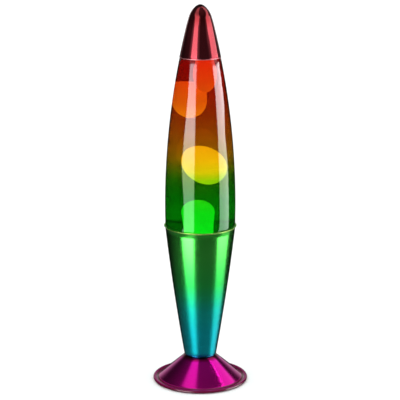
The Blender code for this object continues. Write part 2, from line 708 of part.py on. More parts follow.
def make_materials():
    """One material for each finish."""
    return {
        "cap": make_material("dyed_red_metal", (0.42, 0.01, 0.03), 0.25, 1.0),
        "bottle": make_material("lacquered_glass", (0.55, 0.16, 0.03), 0.05, 0.0, 0.6),
        "liquid": make_material("clear_liquid", (0.9, 0.95, 0.9), 0.0, 0.0, 1.0),
        "wax": make_material("white_wax", (0.95, 0.93, 0.86), 0.5),
        "cone": make_material("dyed_green_metal", (0.04, 0.45, 0.32), 0.3, 1.0),
        "foot": make_material("dyed_magenta_metal", (0.55, 0.01, 0.3), 0.25, 1.0),
        "crown": make_material("tinplate", (0.75, 0.75, 0.76), 0.3, 1.0),
        "liner": make_material("liner_plastic", (0.8, 0.8, 0.75), 0.5),
        "steel": make_material("plated_steel", (0.6, 0.6, 0.62), 0.35, 1.0),
        "iron": make_material("cast_iron", (0.12, 0.12, 0.13), 0.7, 0.6),
        "cover": make_material("black_sheet", (0.03, 0.03, 0.03), 0.5),
        "rubber": make_material("black_rubber", (0.02, 0.02, 0.02), 0.8),
        "mica": make_material("mica", (0.45, 0.33, 0.2), 0.5),
        "ceramic": make_material("white_ceramic", (0.85, 0.84, 0.8), 0.4),
        "brass": make_material("brass", (0.75, 0.55, 0.25), 0.3, 1.0),
        "nickel": make_material("nickel_plate", (0.7, 0.68, 0.62), 0.3, 1.0),
        "bulb_glass": make_material("bulb_glass", (0.9, 0.9, 0.88), 0.1, 0.0, 0.7),
        "clear_glass": make_material("clear_glass", (0.95, 0.95, 0.95), 0.05, 0.0, 1.0),
        "black_glass": make_material("black_glass", (0.02, 0.02, 0.03), 0.2),
        "tungsten": make_material("tungsten", (0.3, 0.3, 0.3), 0.5, 1.0),
    }


def build_wax(materials, bottle):
    """The pool, and one pivot for each free blob."""
    build_wax_pool(materials, bottle)
    heights = (245.4, 316.0, 346.5)
    middle, upper_left, upper_right = [
        add_pivot(f"wax_axis_{index + 1}", z, bottle) for index, z in enumerate(heights)
    ]
    wax_blob("wax_blob_middle", (3.2, 0.0, heights[0]), (17.4, 18.4, 22.4), materials, middle, tilt=-31.0)
    wax_blob("wax_blob_upper_left", (-8.0, 9.2, heights[1]), (12.9, 8.8, 18.4), materials, upper_left,
             flat_top=20.3)
    wax_blob("wax_blob_upper_right", (4.4, -8.6, heights[2]), (11.2, 7.8, 20.6), materials, upper_right)


def main():
    clear_scene()
    materials = make_materials()
    build_foot(materials)
    build_cone(materials)
    build_fixings(materials)
    build_holder(materials)
    bulb = add_pivot("bulb_axis", HOLDER_HIGH)
    build_bulb(materials, bulb)
    bottle = add_pivot("bottle_axis", RIM_Z)
    build_bottle(materials, bottle)
    build_liquid(materials, bottle)
    build_wax(materials, bottle)
    cap = add_pivot("cap_axis", SEAM_Z, bottle)
    build_cap(materials, cap)


main()
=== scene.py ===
"""Looks of the table lava lamp: turned surfaces, lit wax, lacquered glass, dyed metal and studio light."""

import json
import math

import bmesh
import bpy
from mathutils import Matrix, Vector, noise


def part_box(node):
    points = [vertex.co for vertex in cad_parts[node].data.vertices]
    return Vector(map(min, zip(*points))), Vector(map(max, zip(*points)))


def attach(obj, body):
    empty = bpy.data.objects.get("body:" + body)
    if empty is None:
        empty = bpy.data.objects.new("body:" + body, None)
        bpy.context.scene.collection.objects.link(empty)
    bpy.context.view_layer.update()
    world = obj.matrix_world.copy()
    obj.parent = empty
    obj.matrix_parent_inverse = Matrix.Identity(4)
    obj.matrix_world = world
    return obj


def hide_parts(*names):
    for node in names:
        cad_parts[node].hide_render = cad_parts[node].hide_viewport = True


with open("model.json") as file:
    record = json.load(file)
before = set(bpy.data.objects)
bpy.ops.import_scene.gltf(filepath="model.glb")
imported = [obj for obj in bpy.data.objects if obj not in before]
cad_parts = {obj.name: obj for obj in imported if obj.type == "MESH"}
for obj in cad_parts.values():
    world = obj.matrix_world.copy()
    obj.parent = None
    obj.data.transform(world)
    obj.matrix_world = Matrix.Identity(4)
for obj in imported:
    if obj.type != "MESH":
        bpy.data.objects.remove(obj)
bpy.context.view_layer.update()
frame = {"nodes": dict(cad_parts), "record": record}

# ---------------------------------------------------------------- sizes, in metres, from the frame

MM = 0.001
SEAM_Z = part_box("decorative_cap")[0].z                 # the cap's lower edge
TIP_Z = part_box("decorative_cap")[1].z
BELLY_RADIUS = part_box("glass_bottle")[1].x             # widest point of the bottle
BOTTLE_BASE_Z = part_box("glass_bottle")[0].z
MOUTH_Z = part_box("glass_bottle")[1].z
CONE_BASE_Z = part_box("cone_body")[0].z
RIM_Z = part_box("cone_body")[1].z
LIP_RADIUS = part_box("cone_body")[1].x
FOOT_LOW_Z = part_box("foot_shell")[0].z
FOOT_TOP_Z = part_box("foot_shell")[1].z
FOOT_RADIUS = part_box("foot_shell")[1].x

# ---------------------------------------------------------------- sizes that the CAD shares

BELLY_Z = 198.7 * MM               # height of the bottle's widest point
ARC_RADIUS = 832.0 * MM            # the long arc that bottle and cap share
TIP_START_Z = TIP_Z - 13.0 * MM    # where the cap's round tip starts
CONE_BASE_RADIUS = 17.6 * MM
CONE_TOP_RADIUS = 38.6 * MM
CONE_BULGE = 1.2 * MM              # how far the cone's side swells past a straight line
FOOT_TOP_RADIUS = 16.5 * MM
FLANK_END_RADIUS = 46.4 * MM       # where the foot's flank turns into its brim
FLANK_FALL = 0.872                 # how far the flank drops for each metre outwards
NIPPLE_HOLE_RADIUS = 5.3 * MM      # hole in the cone's floor and the foot's top
METAL = 1.0 * MM                   # sheet of cap and cone
FOOT_METAL = 1.2 * MM
GLASS = 2.8 * MM
CAP_GAP = 0.3 * MM                 # cap to bottle
TAPER_GAP = 0.7 * MM               # cone to bottle
CORD_Z = 11.2 * MM                 # height of the cord's way out through the foot
CORD_HOLE_RADIUS = 5.2 * MM

# ---------------------------------------------------------------- sizes of the fine pieces

CAP_SIDE_END_Z = TIP_START_Z - 7.0 * MM    # left open below the tip, so that side and tip blend
CAP_ROLL = 0.42 * MM                       # radius of the cap's rounded lower edge
TIP_THICKENING = 1.3                       # the cap's sheet at its tip, against its side
LEDGE_Z = SEAM_Z - 0.4 * MM                # end of the long arc on the bottle, under the cap's edge
INNER_ARC_LOW_Z = RIM_Z + 3.0 * MM         # inside the bottle, the long arc runs down to here
INNER_TAPER_TOP_Z = 172.0 * MM             # and the taper from here
INNER_TAPER_LOW_Z = BOTTLE_BASE_Z + 9.0 * MM
LIQUID_SKIN = 0.15 * MM                    # how far the liquid reaches into the glass, to leave no gap
LIP_TRIM = 0.4 * MM                        # how much less far the lip reaches than in the CAD
LIP_BEAD = 0.28 * MM
FOOT_BEAD = 1.6 * MM
BULB_NECK_RADIUS = 5.7 * MM
BULB_WALL = 0.8 * MM
CROWN_SHEET = 0.5 * MM
CROWN_TEETH = 21
CROWN_FLUTES = 0.028                       # depth of the crown's flutes, as a part of its radius

POOL_TOP_Z = 138.0 * MM
COLUMN_RISE = 1.4 * MM                     # how much higher the wax column ends than in the CAD
COLUMN_RADIUS = 13.6 * MM
COLUMN_LEAN = 1.9 * MM
WAX_GAP = 0.4 * MM                         # pool to glass
WAX_CEILING_Z = 366.5 * MM                 # as high as the upper wax may ever rise
WAX_RISE = 3.0 * MM                        # room kept between the upper wax and the narrowing glass
BLOB_GAP = 0.3 * MM                        # blob to glass
BLOB_UNEVENNESS = 0.012
FLAT_TOP_POWER = 4                         # the higher, the squarer the shoulder of a flat top

CORNER_SHARE = 0.45                        # the most of a straight run that rounding a corner may take
TINY = 1e-7                                # points closer than this are one
FINE_STEPS = 192                           # facets round the large turned pieces
MEDIUM_STEPS = 96
SMALL_STEPS = 64


# ---------------------------------------------------------------- mesh helpers

def spread(first, last, count):
    """Evenly spaced numbers, both ends included."""
    return [first + (last - first) * index / (count - 1) for index in range(count)]


def arc_points(centre, radius, first, last, count):
    """Points along an arc, with angles in degrees from the +radius direction."""
    return [(centre[0] + radius * math.cos(math.radians(a)), centre[1] + radius * math.sin(math.radians(a)))
            for a in spread(first, last, count)]


def rounded(points, radius, steps=4):
    """Rounds the inner corners of an open outline by a small quadratic blend."""
    result = [points[0]]
    for before, corner, after in zip(points, points[1:], points[2:]):
        towards = Vector(before) - Vector(corner)
        away = Vector(after) - Vector(corner)
        reach = min(radius, towards.length * CORNER_SHARE, away.length * CORNER_SHARE)
        start = Vector(corner) + towards.normalized() * reach
        end = Vector(corner) + away.normalized() * reach
        for index in range(steps + 1):
            t = index / steps
            spot = start * (1 - t) ** 2 + Vector(corner) * 2 * t * (1 - t) + end * t ** 2
            result.append((spot.x, spot.y))
    result.append(points[-1])
    return result


def turned_bmesh(outline, steps):
    """Turns an outline of (radius, height) about Z. One whose ends are off the axis is a ring."""
    bm = bmesh.new()
    points = [bm.verts.new((max(r, 0.0), 0.0, z)) for r, z in outline]
    for first, second in zip(points, points[1:]):
        bm.edges.new((first, second))
    if outline[0][0] > TINY:
        bm.edges.new((points[-1], points[0]))
    bmesh.ops.spin(bm, geom=bm.verts[:] + bm.edges[:], cent=(0, 0, 0), axis=(0, 0, 1),
                   steps=steps, angle=math.tau, use_merge=True)
    bmesh.ops.remove_doubles(bm, verts=bm.verts[:], dist=TINY)
    bmesh.ops.recalc_face_normals(bm, faces=bm.faces[:])
    return bm


def temporary(name, bm):
    """A short-lived object that holds the mesh."""
    mesh = bpy.data.meshes.new(name)
    bm.to_mesh(mesh)
    bm.free()
    holder = bpy.data.objects.new(name, mesh)
    bpy.context.scene.collection.objects.link(holder)
    return holder


def bored(bm, radius, first_y, last_y, z):
    """The solid with a round hole bored straight through it along Y."""
    drill = bmesh.new()
    bmesh.ops.create_cone(drill, cap_ends=True, segments=SMALL_STEPS, radius1=radius, radius2=radius,
                          depth=last_y - first_y)
    place = Matrix.Translation((0.0, (first_y + last_y) / 2, z)) @ Matrix.Rotation(math.radians(90.0), 4, "X")
    bmesh.ops.transform(drill, matrix=place, verts=drill.verts[:])
    solid = temporary("solid", bm)
    cutter = temporary("cutter", drill)
    cut = solid.modifiers.new("cut", "BOOLEAN")
    cut.object = cutter
    cut.solver = "EXACT"
    bpy.context.view_layer.update()
    shaped = solid.evaluated_get(bpy.context.evaluated_depsgraph_get())
    result = bmesh.new()
    result.from_mesh(shaped.to_mesh())
    bpy.data.objects.remove(solid)
    bpy.data.objects.remove(cutter)
    return result


def add_piece(name, bm, material, body, nodes, sharp_degrees=40.0):
    """Makes the piece, rides it on its body and lets it stand for its CAD nodes."""
    mesh = bpy.data.meshes.new(name)
    bm.to_mesh(mesh)
    bm.free()
    mesh.shade_smooth()
    mesh.set_sharp_from_angle(angle=math.radians(sharp_degrees))
    mesh.materials.append(material)
    piece = bpy.data.objects.new(name, mesh)
    bpy.context.scene.collection.objects.link(piece)
    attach(piece, body)
    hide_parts(*nodes)
    return piece


# ---------------------------------------------------------------- shared curves

def profile(points, base_z=0.0, base_radius=0.0):
    """(radius, height) points given in millimetres, moved to a base point that is in metres."""
    return [(base_radius + radius * MM, base_z + z * MM) for radius, z in points]


def arc_radius(z):
    """Radius of the long arc that runs down cap and bottle."""
    return BELLY_RADIUS - (ARC_RADIUS - math.sqrt(ARC_RADIUS ** 2 - (z - BELLY_Z) ** 2))


def cone_radius(z):
    """Outer radius of the cone body."""
    along = (z - CONE_BASE_Z) / (RIM_Z - CONE_BASE_Z)
    straight = CONE_BASE_RADIUS + (CONE_TOP_RADIUS - CONE_BASE_RADIUS) * along
    return straight + CONE_BULGE * 4.0 * along * (1.0 - along)


def taper_radius(z):
    """Outer radius of the bottle inside the cone."""
    return cone_radius(z) - METAL - TAPER_GAP


def flank_radius(z):
    """Outer radius of the foot's straight flank."""
    return FOOT_TOP_RADIUS + (FOOT_TOP_Z - z) / FLANK_FALL


# ---------------------------------------------------------------- node helpers

class Nodes:
    """Short names for adding and linking the nodes of one tree."""

    def __init__(self, tree):
        self.tree = tree

    def add(self, kind, inputs=None, **settings):
        """Adds a node, sets its properties, and sets or links its inputs."""
        node = self.tree.nodes.new(kind)
        for key, value in settings.items():
            setattr(node, key, value)
        for key, value in (inputs or {}).items():
            if isinstance(value, bpy.types.NodeSocket):
                self.tree.links.new(value, node.inputs[key])
            else:
                node.inputs[key].default_value = value
        return node

    def link(self, node, sources):
        """Links each named input of the node to its source."""
        for name, source in sources.items():
            self.tree.links.new(source, node.inputs[name])

    def math(self, operation, first, second=0.0, clamp=False):
        """A Math node's result."""
        inputs = {0: first, 1: second}
        return self.add("ShaderNodeMath", inputs, operation=operation, use_clamp=clamp).outputs[0]

    def times(self, first, second, clamp=False):
        """The product of two plain values."""
        return self.math("MULTIPLY", first, second, clamp)

    def mix(self, fac, first, second):
        """Goes from the first plain value to the second as fac goes from 0 to 1."""
        return self.add("ShaderNodeMix", {0: fac, 2: first, 3: second}, data_type="FLOAT").outputs[0]

    def ramp(self, fac, stops):
        """A colour ramp through (position, colour) stops."""
        node = self.add("ShaderNodeValToRGB", {"Fac": fac})
        ramp = node.color_ramp
        ramp.interpolation = "LINEAR"
        while len(ramp.elements) > 1:
            ramp.elements.remove(ramp.elements[-1])
        for index, (position, colour) in enumerate(stops):
            element = ramp.elements[0] if index == 0 else ramp.elements.new(position)
            element.position = position
            element.color = (*colour, 1.0)
        return node.outputs["Color"]

    def level(self, fac, stops):
        """A plain value that follows fac through (position, value) stops, values from 0 to 1."""
        return self.ramp(fac, [(position, (value,) * 3) for position, value in stops])

    def ranged(self, value, from_low, from_high, to_low=0.0, to_high=1.0):
        """Maps one range of a value to another, and holds it at the ends."""
        inputs = {"Value": value, "From Min": from_low, "From Max": from_high,
                  "To Min": to_low, "To Max": to_high}
        return self.add("ShaderNodeMapRange", inputs).outputs["Result"]

    def vary(self, noise_value, low, high):
        """Stretches the usual middle range of a noise to run from low to high."""
        return self.ranged(noise_value, 0.3, 0.7, low, high)

    def two_tone(self, noise_value, dark, light):
        """A colour that wanders between two tones."""
        return self.ramp(noise_value, [(0.35, dark), (0.65, light)])

    def tinted(self, colour, shade):
        """The colour made lighter or darker by a plain value."""
        inputs = {0: colour, "Scale": shade}
        return self.add("ShaderNodeVectorMath", inputs, operation="SCALE").outputs["Vector"]

    def place(self):
        """The spot in the piece's own rest space."""
        return self.add("ShaderNodeTexCoord").outputs["Object"]

    def height(self, low, high):
        """0 at height low and 1 at height high, in the piece's own rest space."""
        z = self.add("ShaderNodeSeparateXYZ", {0: self.place()}).outputs["Z"]
        return self.ranged(z, low, high)

    def noise(self, place, scale, detail):
        """Noise that is the same in every direction."""
        inputs = {"Vector": place, "Scale": scale, "Detail": detail}
        return self.add("ShaderNodeTexNoise", inputs).outputs["Fac"]

    def rings(self, place, across, along, detail):
        """Noise stretched into rings round the axis: slow across the piece and quick along its height."""
        scale = (across, across, along)
        squeezed = self.add("ShaderNodeMapping", {"Vector": place, "Scale": scale}).outputs[0]
        return self.noise(squeezed, 1.0, detail)

    def bump(self, height, strength, distance):
        """A normal for a surface raised by the height."""
        inputs = {"Height": height, "Strength": strength, "Distance": distance}
        return self.add("ShaderNodeBump", inputs).outputs["Normal"]


def new_material(name):
    """A material with a bare Principled shader: returns the material, its nodes and the shader."""
    material = bpy.data.materials.new(name)
    material.use_nodes = True
    shader = material.node_tree.nodes["Principled BSDF"]
    return material, Nodes(material.node_tree), shader


# ---------------------------------------------------------------- colours and glow by height
#
# Each list holds (position, value) stops, with position 0 at the lower height and 1 at the upper one.

# The pale colour on the cap's rolled lower edge is a painted highlight.
SEAM_HIGHLIGHT_EDGE = 1.0 * MM / (TIP_Z - SEAM_Z)    # the pale rolled edge's share of the cap's height

CAP_DYE_AND_PAINTED_LIGHT = [
    # Pale pink at the rolled seam edge: a painted highlight.
    (0.0, (0.80, 0.30, 0.33)),
    (SEAM_HIGHLIGHT_EDGE * 0.8, (0.80, 0.30, 0.33)),
    (SEAM_HIGHLIGHT_EDGE, (0.70, 0.066, 0.098)),
    (0.58, (0.68, 0.055, 0.080)),
    # From here up, the red darkens towards the tip: painted shade that dims the reflections there.
    (0.72, (0.48, 0.010, 0.022)),
    (0.90, (0.30, 0.003, 0.010)),
    (1.0, (0.10, 0.002, 0.004)),
]

LACQUER_LOW_Z = 178.0 * MM
LACQUER_TOP_Z = 364.0 * MM

GLASS_COLOURS = [
    (0.00, (0.0010, 0.370, 0.0040)),
    (0.12, (0.0020, 0.340, 0.0030)),
    (0.19, (0.0070, 0.275, 0.0020)),
    (0.25, (0.0500, 0.275, 0.0010)),
    (0.31, (0.1400, 0.285, 0.0010)),
    (0.36, (0.3500, 0.285, 0.0010)),
    (0.43, (0.4300, 0.245, 0.0010)),
    (0.575, (0.460, 0.168, 0.0010)),
    (0.75, (0.4450, 0.068, 0.0010)),
    (0.88, (0.4300, 0.029, 0.0010)),
    (0.98, (0.4500, 0.014, 0.0010)),
]

GLASS_GLOSS = [
    (0.0, (0.5, 1.0, 0.6)),
    (0.2, (0.55, 1.0, 0.6)),
    (0.36, (0.8, 1.0, 0.4)),
    (0.57, (1.0, 0.95, 0.85)),
    (0.78, (1.0, 0.85, 0.85)),
    (0.9, (1.0, 0.82, 0.88)),
]

CONE_DYE_AND_PAINTED_HIGHLIGHT = [
    (0.00, (0.010, 0.72, 0.86)),
    (0.21, (0.010, 0.74, 0.82)),
    (0.38, (0.014, 0.74, 0.60)),
    (0.48, (0.022, 0.74, 0.30)),
    (0.58, (0.038, 0.74, 0.125)),
    (0.70, (0.065, 0.76, 0.11)),
    (0.81, (0.090, 0.78, 0.10)),
    (0.985, (0.085, 0.76, 0.085)),
    # Pale at the lip: a painted highlight.
    (0.994, (0.55, 0.92, 0.22)),
]

FOOT_DYE_AND_PAINTED_SHADE = [
    # Dark crimson on the rolled bead: painted shade, not the metal's own colour.
    (0.0, (0.115, 0.002, 0.030)),
    (0.105, (0.115, 0.002, 0.030)),
    (0.130, (0.70, 0.004, 0.33)),
    (0.85, (0.72, 0.003, 0.39)),
    # Darker at the top, where the cone stands on the foot: painted shade.
    (0.93, (0.26, 0.002, 0.07)),
    (1.0, (0.06, 0.001, 0.02)),
]

ALL_METAL = ((0.0, 1.0),)
# The wax's glow below is painted light: an emission that stands in for the bulb's light through the wax.
WAX_GLOW_LOW_Z = 120.0 * MM
WAX_GLOW_TOP_Z = 365.0 * MM
WAX_GLOW = [(0.0, 0.88), (0.5, 0.8), (0.8, 0.57), (1.0, 0.64)]
WAX_GLOW_STRENGTH = 2.5
# The cone's inside glows as painted light: an emission that stands in for the bulb's light on the wall.
LIT_WALL_DEPTH = 60.0 * MM                 # how far down the cone its inside is lit
LIT_WALL_GLOW = [(0.0, 0.12), (0.6, 0.45), (0.97, 0.45), (1.0, 0.1)]
MIRROR_LOW_Z = 90.0 * MM                   # the bulb's mirror gives way to frost between these heights
MIRROR_TOP_Z = 98.0 * MM
WIRE_LOW_Z = 80.0 * MM
WIRE_TOP_Z = 92.0 * MM


# ---------------------------------------------------------------- materials

def dyed_metal(name, low, high, colour, roughness, metallic, coat, coat_ior, brushing):
    """Spun and dyed metal. Its stops go by height, and fine turning marks run round the axis. Besides the
    dye, the colour stops carry painted highlights and painted shade where a caller puts them.
    """
    material, nodes, shader = new_material(name)
    height = nodes.height(low, high)
    place = nodes.place()
    marks = nodes.rings(place, across=3.0, along=5200.0, detail=2.0)
    bands = nodes.rings(place, across=1.5, along=1100.0, detail=2.0)
    shade = nodes.vary(bands, 1.0 - 0.16 * brushing, 1.0 + 0.1 * brushing)
    uneven = nodes.vary(marks, 1.0 - 0.3 * brushing, 1.0 + 0.4 * brushing)
    tangent = nodes.add("ShaderNodeTangent", direction_type="RADIAL", axis="Z")
    nodes.link(shader, {
        "Base Color": nodes.tinted(nodes.ramp(height, colour), shade),
        "Roughness": nodes.times(nodes.level(height, roughness), uneven),
        "Metallic": nodes.level(height, metallic),
        "Coat Weight": nodes.level(height, ((0.0, coat),)),
        "Normal": nodes.bump(marks, strength=0.1 * brushing, distance=0.00002),
        "Tangent": tangent.outputs["Tangent"],
    })
    shader.inputs["Anisotropic"].default_value = 0.5 * brushing
    shader.inputs["Coat Roughness"].default_value = 0.04
    shader.inputs["Coat IOR"].default_value = coat_ior
    return material


def cap_metal():
    """Dark red dyed metal under clear lacquer, rougher at the seam, where a pale colour paints a highlight,
    and darkened towards the tip as painted shade.
    """
    roughness = [(0.0, 0.5), (SEAM_HIGHLIGHT_EDGE * 0.8, 0.5), (SEAM_HIGHLIGHT_EDGE, 0.07)]
    return dyed_metal("dyed_red_metal", SEAM_Z, TIP_Z, CAP_DYE_AND_PAINTED_LIGHT, roughness, ALL_METAL,
                      coat=1.0, coat_ior=1.5, brushing=0.25)


def cone_metal():
    """Plainly brushed metal, dyed cyan to green, with a pale colour on the lip that paints a highlight there.
    """
    roughness = [(0.0, 0.21), (0.5, 0.20), (0.7, 0.17), (0.985, 0.17), (0.994, 0.35)]
    return dyed_metal("dyed_green_metal", CONE_BASE_Z, RIM_Z, CONE_DYE_AND_PAINTED_HIGHLIGHT, roughness, ALL_METAL,
                      coat=0.1, coat_ior=1.5, brushing=1.0)


def foot_metal():
    """Magenta dyed metal. Its rolled edge is painted dark as painted shade and shines like paint, and its
    top, where the cone stands, is darkened as painted shade.
    """
    roughness = [(0.0, 0.16), (0.5, 0.15)]
    # Not metallic on the bead, so that its painted shade shines like paint.
    metallic = [(0.105, 0.0), (0.130, 1.0)]
    return dyed_metal("dyed_magenta_metal", FOOT_LOW_Z, FOOT_TOP_Z, FOOT_DYE_AND_PAINTED_SHADE, roughness, metallic,
                      coat=0.5, coat_ior=1.2, brushing=0.3)


def lacquered_glass():
    """Clear glass with a transparent lacquer that goes from red through amber to green."""
    material, nodes, shader = new_material("lacquered_glass")
    height = nodes.height(LACQUER_LOW_Z, LACQUER_TOP_Z)
    place = nodes.place()
    coats = nodes.rings(place, across=26.0, along=160.0, detail=3.0)
    waves = nodes.noise(place, scale=35.0, detail=1.0)
    nodes.link(shader, {
        "Base Color": nodes.tinted(nodes.ramp(height, GLASS_COLOURS), nodes.vary(coats, 0.97, 1.02)),
        "Roughness": nodes.vary(coats, 0.0, 0.012),
        "Normal": nodes.bump(waves, strength=0.03, distance=0.0001),
        "Specular Tint": nodes.ramp(height, GLASS_GLOSS),
    })
    shader.inputs["Transmission Weight"].default_value = 1.0
    shader.inputs["IOR"].default_value = 1.5
    return material


def clear_liquid():
    """Water-clear liquid with a trace of haze in it."""
    material, nodes, shader = new_material("clear_liquid")
    haze = nodes.noise(nodes.place(), scale=45.0, detail=3.0)
    nodes.link(shader, {
        "Base Color": nodes.two_tone(haze, (0.985, 0.99, 0.985), (1.0, 1.0, 1.0)),
        "Roughness": nodes.vary(haze, 0.0, 0.01),
    })
    shader.inputs["Transmission Weight"].default_value = 1.0
    shader.inputs["IOR"].default_value = 1.33
    return material


def lit_wax():
    """White wax with a painted glow: an emission by height that stands in for the bulb's light from below, so
    the lowest wax is the brightest.
    """
    material, nodes, shader = new_material("lit_wax")
    height = nodes.height(WAX_GLOW_LOW_Z, WAX_GLOW_TOP_Z)
    cloud = nodes.noise(nodes.place(), scale=60.0, detail=4.0)
    glow = nodes.times(nodes.level(height, WAX_GLOW), WAX_GLOW_STRENGTH)
    nodes.link(shader, {
        "Base Color": nodes.two_tone(cloud, (0.82, 0.80, 0.75), (0.87, 0.85, 0.80)),
        "Roughness": nodes.vary(cloud, 0.4, 0.5),
        "Emission Strength": nodes.times(glow, nodes.vary(cloud, 0.93, 1.05)),
    })
    shader.inputs["Emission Color"].default_value = (1.0, 0.97, 0.9, 1.0)
    return material


def lit_inner_wall():
    """Inside of the cone: bare spun metal with a painted glow, an emission by height that stands in for the
    bulb's light on it.
    """
    material, nodes, shader = new_material("lit_inner_wall")
    marks = nodes.rings(nodes.place(), across=3.0, along=1500.0, detail=2.0)
    lit = nodes.level(nodes.height(RIM_Z - LIT_WALL_DEPTH, RIM_Z), LIT_WALL_GLOW)
    nodes.link(shader, {
        "Base Color": nodes.two_tone(marks, (0.50, 0.56, 0.50), (0.66, 0.72, 0.66)),
        "Roughness": nodes.vary(marks, 0.3, 0.45),
        "Emission Strength": nodes.times(lit, nodes.vary(marks, 0.85, 1.1)),
    })
    shader.inputs["Emission Color"].default_value = (1.0, 0.98, 0.88, 1.0)
    shader.inputs["Metallic"].default_value = 0.7
    return material


def plain_finish(name, colour, roughness, metallic=0.0, grain=900.0, depth=0.06, variation=0.12, coat=0.0):
    """A quiet finish with fine grain and broad patches in colour, roughness and surface."""
    material, nodes, shader = new_material(name)
    place = nodes.place()
    fine = nodes.noise(place, scale=grain, detail=4.0)
    patches = nodes.noise(place, scale=grain * 0.07, detail=3.0)
    dark = tuple(value * (1.0 - variation) for value in colour)
    light = tuple(min(value * (1.0 + variation), 1.0) for value in colour)
    shade = nodes.vary(patches, 1.0 - 0.5 * variation, 1.0)
    worn = nodes.vary(patches, 0.88, 1.12)
    nodes.link(shader, {
        "Base Color": nodes.tinted(nodes.two_tone(fine, dark, light), shade),
        "Roughness": nodes.times(nodes.vary(fine, roughness * 0.88, roughness * 1.12), worn, clamp=True),
        "Normal": nodes.bump(fine, strength=depth, distance=0.0002),
    })
    shader.inputs["Metallic"].default_value = metallic
    shader.inputs["Coat Weight"].default_value = coat
    return material


def reflector_glass():
    """Bulb glass: mirrored inside from the neck to its widest point, frosted over the front."""
    material, nodes, shader = new_material("reflector_glass")
    height = nodes.height(MIRROR_LOW_Z, MIRROR_TOP_Z)
    frost = nodes.noise(nodes.place(), scale=2400.0, detail=3.0)
    roughness = nodes.level(height, [(0.4, 0.12), (0.6, 0.45)])
    nodes.link(shader, {
        "Base Color": nodes.ramp(height, [(0.0, (0.74, 0.74, 0.72)), (0.5, (0.86, 0.86, 0.83))]),
        "Metallic": nodes.level(height, [(0.4, 0.95), (0.6, 0.0)]),
        "Roughness": nodes.times(roughness, nodes.vary(frost, 0.8, 1.2)),
        "Transmission Weight": nodes.level(height, [(0.4, 0.0), (0.6, 0.35)]),
        "Emission Strength": nodes.level(height, [(0.4, 0.0), (0.6, 0.9)]),
        "Normal": nodes.bump(frost, strength=0.05, distance=0.0001),
    })
    shader.inputs["Emission Color"].default_value = (1.0, 0.86, 0.62, 1.0)
    return material


def seeded_glass(name, colour):
    """Pressed clear glass with faint seeds and waves."""
    material, nodes, shader = new_material(name)
    waves = nodes.noise(nodes.place(), scale=260.0, detail=2.0)
    dark = tuple(value * 0.94 for value in colour)
    nodes.link(shader, {
        "Base Color": nodes.two_tone(waves, dark, colour),
        "Roughness": nodes.vary(waves, 0.0, 0.05),
        "Normal": nodes.bump(waves, strength=0.04, distance=0.0002),
    })
    shader.inputs["Transmission Weight"].default_value = 1.0
    shader.inputs["IOR"].default_value = 1.5
    return material


def glowing_wire():
    """Tungsten wire, hottest at its middle."""
    material, nodes, shader = new_material("glowing_wire")
    uneven = nodes.noise(nodes.place(), scale=500.0, detail=2.0)
    heat = nodes.level(nodes.height(WIRE_LOW_Z, WIRE_TOP_Z), [(0.0, 0.0), (0.7, 0.4), (1.0, 1.0)])
    nodes.link(shader, {
        "Base Color": nodes.two_tone(uneven, (0.22, 0.21, 0.20), (0.34, 0.33, 0.32)),
        "Emission Strength": nodes.times(heat, nodes.vary(uneven, 5.0, 7.0)),
    })
    shader.inputs["Emission Color"].default_value = (1.0, 0.62, 0.26, 1.0)
    shader.inputs["Metallic"].default_value = 1.0
    shader.inputs["Roughness"].default_value = 0.4
    return material


def hardware_finishes():
    """A finish for each material slot of the parts inside and under the lamp."""
    return {
        "tinplate": plain_finish("tinplate", (0.74, 0.75, 0.77), 0.22, 1.0, grain=1600.0, depth=0.04),
        "liner_plastic": plain_finish("liner_plastic", (0.72, 0.72, 0.64), 0.5, grain=700.0, depth=0.1),
        "plated_steel": plain_finish("plated_steel", (0.60, 0.61, 0.65), 0.33, 1.0, grain=2200.0, depth=0.08),
        "cast_iron": plain_finish("cast_iron", (0.075, 0.072, 0.070), 0.75, 0.6, grain=480.0, depth=0.6,
                                  variation=0.35),
        "cover_sheet": plain_finish("cover_sheet", (0.020, 0.020, 0.022), 0.4, grain=2600.0, depth=0.3,
                                    variation=0.2, coat=0.2),
        "rubber": plain_finish("rubber", (0.022, 0.022, 0.022), 0.78, grain=1400.0, depth=0.25,
                               variation=0.25),
        "mica": plain_finish("mica", (0.46, 0.34, 0.20), 0.3, grain=420.0, depth=0.3, variation=0.4,
                             coat=0.3),
        "ceramic": plain_finish("ceramic", (0.80, 0.79, 0.74), 0.28, grain=650.0, depth=0.05, variation=0.05,
                                coat=0.7),
        "brass": plain_finish("brass", (0.78, 0.56, 0.25), 0.28, 1.0, grain=1800.0),
        "nickel": plain_finish("nickel", (0.70, 0.67, 0.61), 0.2, 1.0, grain=1900.0),
        "black_glass": plain_finish("black_glass", (0.018, 0.018, 0.025), 0.1, grain=500.0, depth=0.03,
                                    variation=0.3, coat=0.6),
        "bulb_glass": reflector_glass(),
        "clear_glass": seeded_glass("stem_glass", (0.95, 0.96, 0.95)),
        "tungsten": glowing_wire(),
    }


def finish_cad_nodes(finishes):
    """Gives every CAD node that stays in view the finish of its material slot."""
    for row in frame["record"]["subparts"]:
        finish = finishes.get(row["material_slot"])
        if finish is not None:
            frame["nodes"][row["node"]].material_slots[0].material = finish


# ---------------------------------------------------------------- pieces

def cap_side(inset, first_z):
    """The cap's side up to its tip, moved in by inset."""
    side = [(arc_radius(z) + CAP_GAP - inset, z) for z in spread(first_z, CAP_SIDE_END_Z, 24)]
    tip = []
    for degrees in spread(0.0, 90.0, 22):
        z = TIP_START_Z + (TIP_Z - TIP_START_Z - inset * TIP_THICKENING) * math.sin(math.radians(degrees))
        tip.append(((arc_radius(z) - inset) * math.cos(math.radians(degrees)), z))
    tip[-1] = (0.0, tip[-1][1])
    return side + tip


